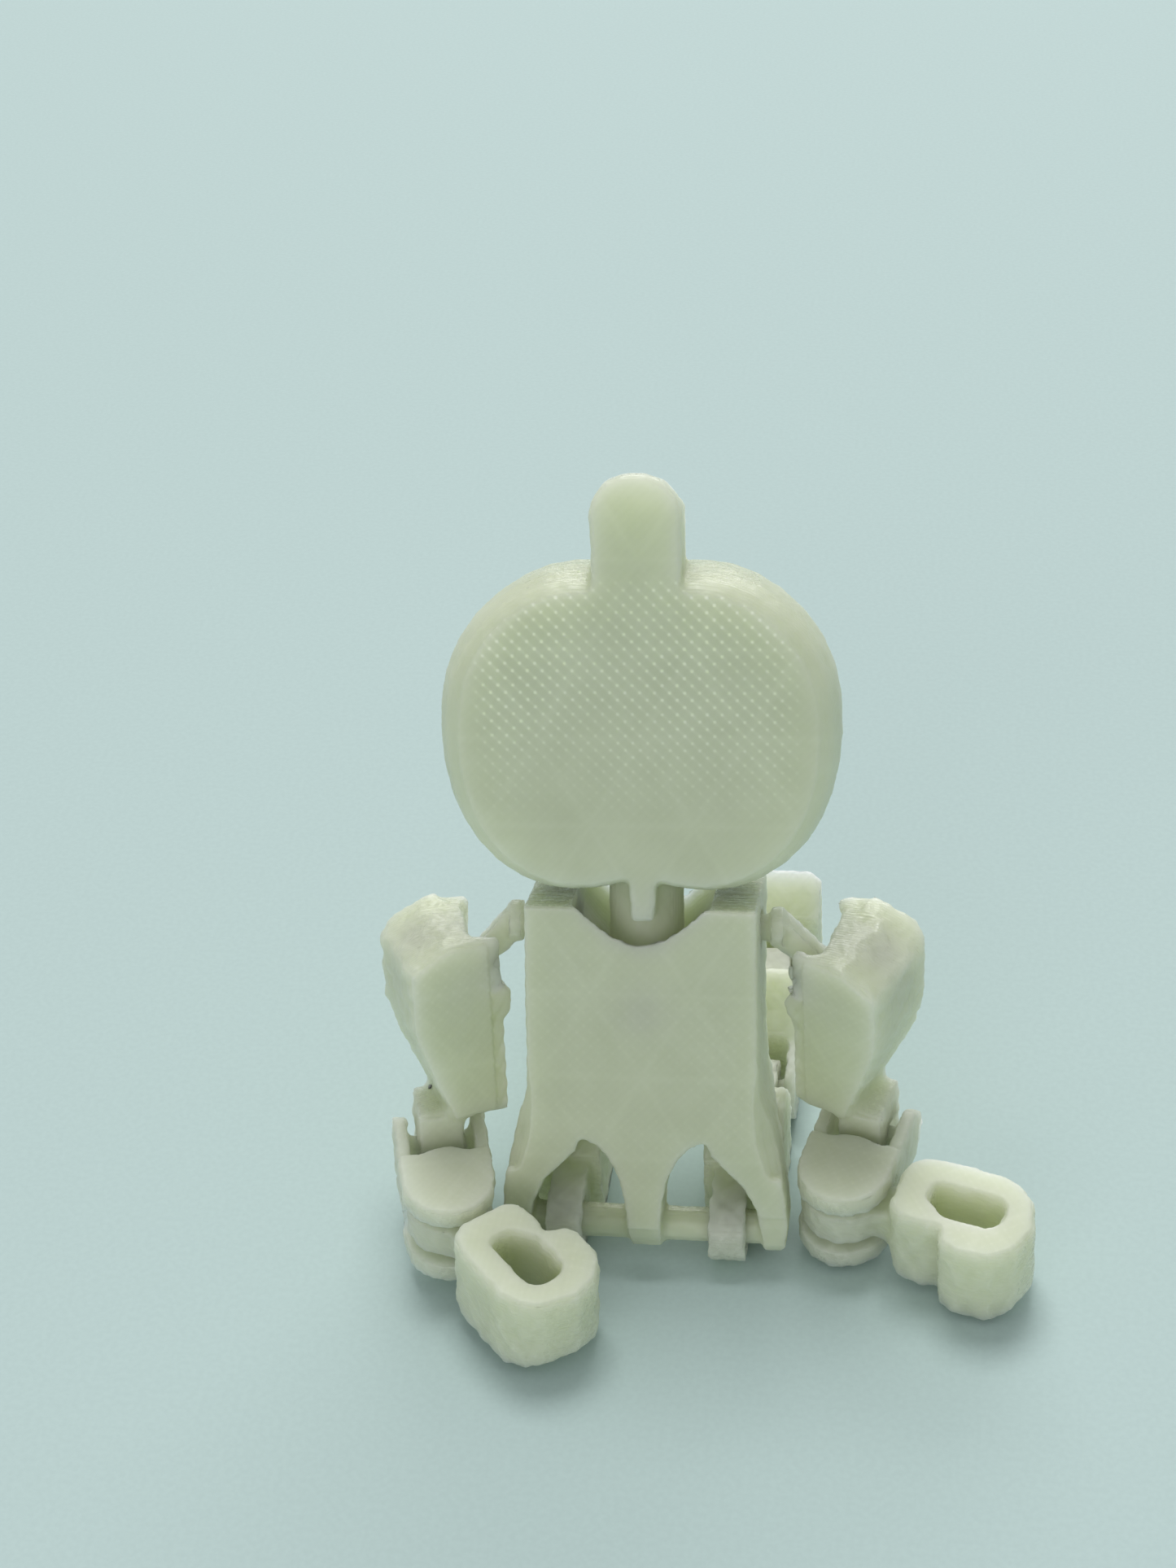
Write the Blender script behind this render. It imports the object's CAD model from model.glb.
import math

import bpy
import numpy as np
from mathutils import Matrix, Vector


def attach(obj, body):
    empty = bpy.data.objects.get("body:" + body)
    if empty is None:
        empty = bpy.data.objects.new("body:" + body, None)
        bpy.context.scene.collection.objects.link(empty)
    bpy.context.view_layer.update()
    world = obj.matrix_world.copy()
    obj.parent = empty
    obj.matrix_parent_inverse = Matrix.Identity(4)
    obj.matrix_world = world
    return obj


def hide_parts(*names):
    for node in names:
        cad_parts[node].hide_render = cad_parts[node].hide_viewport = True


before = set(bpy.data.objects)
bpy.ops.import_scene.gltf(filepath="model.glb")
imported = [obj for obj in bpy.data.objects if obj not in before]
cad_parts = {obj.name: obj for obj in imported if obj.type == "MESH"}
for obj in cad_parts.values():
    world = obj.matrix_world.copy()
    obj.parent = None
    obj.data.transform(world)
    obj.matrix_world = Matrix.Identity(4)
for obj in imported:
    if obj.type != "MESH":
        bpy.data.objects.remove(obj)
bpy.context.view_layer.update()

# Where each link's print bed frame sits at rest: a point on the bed in mm, then the bed's X, Y and Z directions.
# The link was printed with its flat back on the bed plane, so layers stack against its Y direction.
PRINT = {
    "torso": ((3.3512, 11.565, 2.9532), (1.0, 0.0, 0.0), (0.0, 0.95882, 0.28402), (0.0, -0.28402, 0.95882)),
    "head": ((3.1549, 11.5601, 2.9518), (0.99863, 0.05018, 0.01486), (-0.05234, 0.95751, 0.28363), (0.0, -0.28402, 0.95882)),
    "left_shoulder": ((3.3512, 9.1244, 1.8763), (1.0, 0.0, 0.0), (0.0, 0.98902, 0.14781), (0.0, -0.14781, 0.98902)),
    "left_upper_arm": ((2.7979, 5.6003, 1.3496), (0.96126, 0.27261, 0.04074), (-0.27564, 0.9507, 0.14208), (0.0, -0.14781, 0.98902)),
    "left_forearm": ((2.2553, 6.6997, 6.7969), (0.96126, 0.27261, 0.04074), (-0.062, 0.06984, 0.99563), (0.26857, -0.95959, 0.08404)),
    "left_hand": ((5.7404, 1.6877, 7.3656), (0.74624, 0.66568, -0.00022), (-0.062, 0.06984, 0.99563), (0.66278, -0.74297, 0.09339)),
    "left_thigh": ((3.3512, 9.3597, 0.0), (1.0, 0.0, 0.0), (0.0, 0.0, -1.0), (0.0, 1.0, 0.0)),
    "left_shin": ((3.3512, 9.3597, 0.0), (1.0, 0.0, 0.0), (0.0, 0.0, -1.0), (0.0, 1.0, 0.0)),
    "left_foot": ((3.3512, 9.3597, 0.0), (1.0, 0.0, 0.0), (0.0, 0.0, -1.0), (0.0, 1.0, 0.0)),
    "right_shoulder": ((3.3512, 4.9115, 0.8796), (1.0, 0.0, 0.0), (0.0, 0.99692, -0.07846), (0.0, 0.07846, 0.99692)),
    "right_upper_arm": ((3.8901, 1.8098, 1.1237), (0.9703, -0.24118, 0.01898), (0.24192, 0.9673, -0.07613), (0.0, 0.07846, 0.99692)),
    "right_forearm": ((4.2793, 3.8407, 7.031), (0.9703, -0.24118, 0.01898), (0.00633, 0.10375, 0.99458), (-0.24184, -0.96492, 0.1022)),
    "right_hand": ((-3.3899, 21.0621, 5.2834), (0.27555, 0.95591, -0.10147), (0.00633, 0.10375, 0.99458), (0.96126, -0.2747, 0.02254)),
    "right_thigh": ((3.3512, 9.3597, 0.0), (1.0, 0.0, 0.0), (0.0, 0.0, -1.0), (0.0, 1.0, 0.0)),
    "right_shin": ((3.3512, 9.3597, 0.0), (1.0, 0.0, 0.0), (0.0, 0.0, -1.0), (0.0, 1.0, 0.0)),
    "right_foot": ((3.3512, 9.3597, 0.0), (1.0, 0.0, 0.0), (0.0, 0.0, -1.0), (0.0, 1.0, 0.0)),
}

SMOOTH = {"torso": 12, "head": 16, "upper_arm": 90, "forearm": 34, "hand": 60, "shoulder": 12, "thigh": 24, "shin": 24, "foot": 24}


def kind(name):
    return name.split("_", 1)[1] if name not in ("torso", "head") else name


# ---------------------------------------------------------------- plastic
def plastic(name, dots, reach=0.0046):
    mat = bpy.data.materials.new(name)
    mat.use_nodes = True
    nt = mat.node_tree
    nt.nodes.clear()
    L = nt.links.new

    def node(t, **kw):
        n = nt.nodes.new(t)
        for k, v in kw.items():
            setattr(n, k, v)
        return n

    def put(sock, v):
        if isinstance(v, (int, float)):
            sock.default_value = v
        else:
            L(v, sock)

    def m(op, a, b=0.0, c=0.0, clamp=False):
        n = node("ShaderNodeMath", operation=op, use_clamp=clamp)
        put(n.inputs[0], a)
        put(n.inputs[1], b)
        put(n.inputs[2], c)
        return n.outputs[0]

    out = node("ShaderNodeOutputMaterial")
    bs = node("ShaderNodeBsdfPrincipled")
    L(bs.outputs[0], out.inputs[0])
    at = node("ShaderNodeAttribute", attribute_name="pp")
    sep = node("ShaderNodeSeparateXYZ")
    L(at.outputs["Vector"], sep.inputs[0])
    x, y, z = sep.outputs
    bed = node("ShaderNodeAttribute", attribute_name="bed").outputs["Fac"]
    top = node("ShaderNodeAttribute", attribute_name="top").outputs["Fac"]
    # raster on the bed face: lines at 0.4 mm, small gaps on a 0.6 mm lattice
    u = m("MULTIPLY", m("ADD", x, z), 0.70711)
    v = m("MULTIPLY", m("SUBTRACT", x, z), 0.70711)
    lines = m("COSINE", m("MULTIPLY", u, 2 * math.pi / 0.4))
    du = m("COSINE", m("MULTIPLY", u, 2 * math.pi / 0.6))
    dv = m("COSINE", m("MULTIPLY", v, 2 * math.pi / 0.6))
    dot = m("POWER", m("MULTIPLY", m("MAXIMUM", m("ADD", du, dv), 0.0), 0.5), 4.0)
    dot = m("ADD", dot, m("MULTIPLY", m("POWER", m("MULTIPLY", m("ADD", dv, 1.0), 0.5), 4.0), 0.22))
    fade_tex = node("ShaderNodeTexNoise", noise_dimensions="3D")
    L(at.outputs["Vector"], fade_tex.inputs["Vector"])
    fade_tex.inputs["Scale"].default_value = 0.16
    fade_tex.inputs["Detail"].default_value = 2.0
    fade = m("MULTIPLY", m("SUBTRACT", fade_tex.outputs["Fac"], 0.30, clamp=True), 3.4, clamp=True)
    if dots:
        up = m("MULTIPLY", m("SUBTRACT", z, 26.0), 0.14, clamp=True)
        up = m("MULTIPLY", up, m("MULTIPLY", m("SUBTRACT", 40.8, z), 1.2, clamp=True))
        rim = m("MULTIPLY", m("SUBTRACT", 9.6, m("ABSOLUTE", m("SUBTRACT", x, 0.2))), 0.8, clamp=True)
        fade = m("MULTIPLY", m("MULTIPLY", m("ADD", m("MULTIPLY", fade, 0.7), 0.35, clamp=True), up), rim)
    else:
        fade = m("MULTIPLY", fade, 0.12)
    dotm = m("MULTIPLY", m("MULTIPLY", dot, bed), fade)
    # layers on the walls
    lay = m("COSINE", m("MULTIPLY", y, 2 * math.pi / 0.2))
    laym = m("MULTIPLY", lay, m("SUBTRACT", 1.0, bed, clamp=True))
    # strands on the last layers and end faces
    st = node("ShaderNodeTexNoise", noise_dimensions="3D")
    mp = node("ShaderNodeMapping")
    L(at.outputs["Vector"], mp.inputs["Vector"])
    mp.inputs["Rotation"].default_value = (0.0, 0.0, 0.0)
    mp.inputs["Scale"].default_value = (0.35, 5.0, 0.6)
    L(mp.outputs[0], st.inputs["Vector"])
    st.inputs["Scale"].default_value = 1.0
    st.inputs["Detail"].default_value = 3.0
    # blotches
    no = node("ShaderNodeTexNoise", noise_dimensions="3D")
    L(at.outputs["Vector"], no.inputs["Vector"])
    no.inputs["Scale"].default_value = 0.35
    no.inputs["Detail"].default_value = 3.0
    fine = node("ShaderNodeTexNoise", noise_dimensions="3D")
    L(at.outputs["Vector"], fine.inputs["Vector"])
    fine.inputs["Scale"].default_value = 2.6
    fine.inputs["Detail"].default_value = 4.0
    h = m("MULTIPLY", m("MULTIPLY", lines, bed), 0.10)
    h = m("ADD", h, m("MULTIPLY", laym, 0.30))
    h = m("ADD", h, m("MULTIPLY", dotm, -0.9))
    h = m("ADD", h, m("MULTIPLY", fine.outputs["Fac"], 0.55))
    h = m("ADD", h, m("MULTIPLY", m("MULTIPLY", st.outputs["Fac"], top), 1.8))
    bump = node("ShaderNodeBump")
    bump.inputs["Strength"].default_value = 0.55
    bump.inputs["Distance"].default_value = 0.00003
    L(h, bump.inputs["Height"])
    L(bump.outputs[0], bs.inputs["Normal"])
    # colour
    t = m("ADD", m("MULTIPLY", m("SUBTRACT", no.outputs["Fac"], 0.5), 0.30), 0.42)
    t = m("ADD", t, m("MULTIPLY", dotm, 0.62))
    f1 = m("ABSOLUTE", m("SINE", m("MULTIPLY", m("ADD", m("MULTIPLY", x, 0.866), m("MULTIPLY", z, 0.5)), math.pi / 5.2)))
    f2 = m("ABSOLUTE", m("SINE", m("MULTIPLY", m("SUBTRACT", m("MULTIPLY", x, 0.866), m("MULTIPLY", z, 0.5)), math.pi / 5.2)))
    f3 = m("ABSOLUTE", m("SINE", m("MULTIPLY", z, math.pi / 5.2)))
    inf = m("MAXIMUM", m("SUBTRACT", 1.0, m("MULTIPLY", f1, 5.0), clamp=True), m("SUBTRACT", 1.0, m("MULTIPLY", f2, 5.0), clamp=True))
    inf = m("MAXIMUM", inf, m("SUBTRACT", 1.0, m("MULTIPLY", f3, 5.0), clamp=True))
    t = m("ADD", t, m("MULTIPLY", m("MULTIPLY", inf, bed), 0.05))
    t = m("ADD", t, m("MULTIPLY", m("MULTIPLY", lines, bed), 0.012))
    t = m("ADD", t, m("MULTIPLY", m("SUBTRACT", fine.outputs["Fac"], 0.5), 0.06), clamp=True)
    ramp = node("ShaderNodeValToRGB")
    ramp.color_ramp.elements[0].position = 0.0
    ramp.color_ramp.elements[0].color = COL_A
    ramp.color_ramp.elements[1].position = 1.0
    ramp.color_ramp.elements[1].color = COL_B
    L(t, ramp.inputs[0])
    L(ramp.outputs[0], bs.inputs["Base Color"])
    rough = m("SUBTRACT", 0.44, m("MULTIPLY", top, 0.17))
    rough = m("ADD", rough, m("MULTIPLY", m("SUBTRACT", fine.outputs["Fac"], 0.5), 0.25))
    L(rough, bs.inputs["Roughness"])
    bs.inputs["IOR"].default_value = 1.46
    bs.inputs["Subsurface Weight"].default_value = 1.0
    bs.inputs["Subsurface Radius"].default_value = (1.0, 1.0, 0.92)
    bs.inputs["Subsurface Scale"].default_value = reach
    bs.inputs["Specular IOR Level"].default_value = 0.5
    return mat


COL_A = (0.510, 0.550, 0.365, 1.0)
COL_B = (0.850, 0.885, 0.710, 1.0)
mat_plain = plastic("milky_plastic", False)
mat_head = plastic("milky_plastic_head", True)
mat_torso = plastic("milky_plastic_torso", False, 0.0022)


# ---------------------------------------------------------------- printed skins over the frame
def printed(name):
    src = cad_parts[name]
    o = src.copy()
    o.data = src.data.copy()
    o.name = "skin_" + name
    bpy.context.scene.collection.objects.link(o)
    o.data.materials.clear()
    rm = o.modifiers.new("remesh", "REMESH")
    rm.mode = "VOXEL"
    rm.voxel_size = 0.00014 if name == "head" else 0.00012
    sm = o.modifiers.new("smooth", "SMOOTH")
    sm.factor = 0.5
    sm.iterations = SMOOTH[kind(name)]
    dg = bpy.context.evaluated_depsgraph_get()
    me = bpy.data.meshes.new_from_object(o.evaluated_get(dg))
    o.modifiers.clear()
    o.data = me
    n = len(me.vertices)
    co = np.empty(n * 3)
    me.vertices.foreach_get("co", co)
    co = co.reshape(-1, 3)
    no = np.empty(n * 3)
    me.vertices.foreach_get("normal", no)
    no = no.reshape(-1, 3)
    org, ax, ay, az = [np.array(v) for v in PRINT[name]]
    R = np.stack([ax, ay, az], 1)
    p = (co * 1000.0 - org) @ R
    nl = no @ R
    bed = np.clip((nl[:, 1] - 0.90) * 14.0, 0, 1) * (p[:, 1] > -0.45)
    top = np.clip((np.abs(nl[:, 2]) - 0.75) * 5.0, 0, 1) * (1 - bed)
    # walls: layers, and a slow wander of each layer
    lay = np.floor(-p[:, 1] / 0.2)
    seed = np.abs(np.sin(lay * 12.9898 + len(name)) * 43758.5453) % 1.0
    ph = p[:, 0] * 0.9 + p[:, 2] * 0.7
    d = 0.014 + 0.010 * np.cos(2 * np.pi * p[:, 1] / 0.2) + 0.022 * seed + 0.020 * (1 + np.sin(ph + 6.28 * seed)) / 2
    d += 0.05 * (0.5 + 0.5 * np.sin(p[:, 0] * 0.55 + 1.3) * np.cos(p[:, 2] * 0.47 + p[:, 1] * 0.4))
    rough = {"torso": 0.45, "head": 0.35}.get(kind(name), 1.0)
    k = (len(name) * 1.7) % 6.28
    w = np.sin(p[:, 0] * 2.9 + k) * np.sin(p[:, 2] * 3.3 + 1.1 * k) * np.cos(p[:, 1] * 2.1 + k)
    w2 = np.sin(p[:, 0] * 6.1 + 2 * k + 1.9 * np.sin(p[:, 1] * 3.0)) * np.sin(p[:, 2] * 5.2 + k + 1.3 * np.sin(p[:, 0] * 2.0))
    d += rough * (0.075 * (1 + w) + 0.040 * (1 + w2))
    d *= (1 - bed) * (1 - 0.35 * top)
    co2 = co - no * (d / 1000.0)[:, None]
    me.vertices.foreach_set("co", co2.ravel())
    for key, typ, val in (("pp", "FLOAT_VECTOR", p), ("bed", "FLOAT", bed), ("top", "FLOAT", top)):
        a = me.attributes.new(key, typ, "POINT")
        a.data.foreach_set("vector" if typ == "FLOAT_VECTOR" else "value", np.asarray(val, dtype=np.float32).ravel())
    me.polygons.foreach_set("use_smooth", np.ones(len(me.polygons), dtype=bool))
    me.materials.append({"head": mat_head, "torso": mat_torso}.get(name, mat_plain))
    me.update()
    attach(o, name)
    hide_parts(name)
    return o


for name in list(PRINT):
    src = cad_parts[name]
    src.data.materials.clear()
    src.data.materials.append(mat_plain)
    printed(name)


# ---------------------------------------------------------------- sheet, light, camera
def sheet_material():
    mat = bpy.data.materials.new("sheet")
    mat.use_nodes = True
    nt = mat.node_tree
    bs = nt.nodes["Principled BSDF"]
    tc = nt.nodes.new("ShaderNodeTexCoord")
    no = nt.nodes.new("ShaderNodeTexNoise")
    no.inputs["Scale"].default_value = 2600.0
    no.inputs["Detail"].default_value = 3.0
    nt.links.new(tc.outputs["Object"], no.inputs["Vector"])
    ramp = nt.nodes.new("ShaderNodeValToRGB")
    ramp.color_ramp.elements[0].position = 0.35
    ramp.color_ramp.elements[0].color = FLOOR_A
    ramp.color_ramp.elements[1].position = 0.65
    ramp.color_ramp.elements[1].color = FLOOR_B
    nt.links.new(no.outputs["Fac"], ramp.inputs[0])
    nt.links.new(ramp.outputs[0], bs.inputs["Base Color"])
    bs.inputs["Roughness"].default_value = 0.75
    bs.inputs["Specular IOR Level"].default_value = 0.25
    return mat


FLOOR_A = (0.515, 0.645, 0.628, 1.0)
FLOOR_B = (0.535, 0.668, 0.650, 1.0)
bpy.ops.mesh.primitive_plane_add(size=3.0, location=(0, 0, 0))
floor = bpy.context.active_object
floor.name = "sheet"
floor.data.materials.append(sheet_material())

world = bpy.data.worlds.new("sky")
bpy.context.scene.world = world
world.use_nodes = True
bg = world.node_tree.nodes["Background"]
bg.inputs[0].default_value = (0.93, 0.98, 1.0, 1.0)
bg.inputs[1].default_value = 0.38


def area(name, loc, size, power, col=(1, 1, 1), look=(0, 0, 0.02)):
    d = bpy.data.lights.new(name, "AREA")
    d.shape = "RECTANGLE"
    d.size, d.size_y = size
    d.energy = power
    d.color = col
    o = bpy.data.objects.new(name, d)
    bpy.context.scene.collection.objects.link(o)
    o.location = loc
    o.rotation_euler = (Vector(look) - Vector(loc)).to_track_quat("-Z", "Y").to_euler()
    return o


area("window", (-0.15, -2.2, 1.0), (1.8, 0.9), 16.0, (1.0, 1.0, 1.0))
area("ceiling", (0.15, -0.9, 2.4), (1.1, 1.1), 31.0, (1.0, 1.0, 1.0))
area("fill", (0.35, 1.9, 0.75), (1.4, 1.0), 8.0, (1.0, 1.0, 1.0))

cam = bpy.data.cameras.new("camera")
cam.lens = 63.33
cam.sensor_width = 36.0
cam.clip_start = 0.005
cam.clip_end = 10
co = bpy.data.objects.new("camera", cam)
bpy.context.scene.collection.objects.link(co)
right = Vector((-0.99013, -0.12821, -0.05663))
up = Vector((0.02332, -0.54908, 0.83544))
back = Vector((-0.13821, 0.82587, 0.54665))
rot = Matrix((right, up, back)).transposed()
co.matrix_world = Matrix.Translation(Vector((-0.015643, 0.134020, 0.116667))) @ rot.to_4x4()
bpy.context.scene.camera = co
bpy.context.scene.view_settings.view_transform = "Standard"
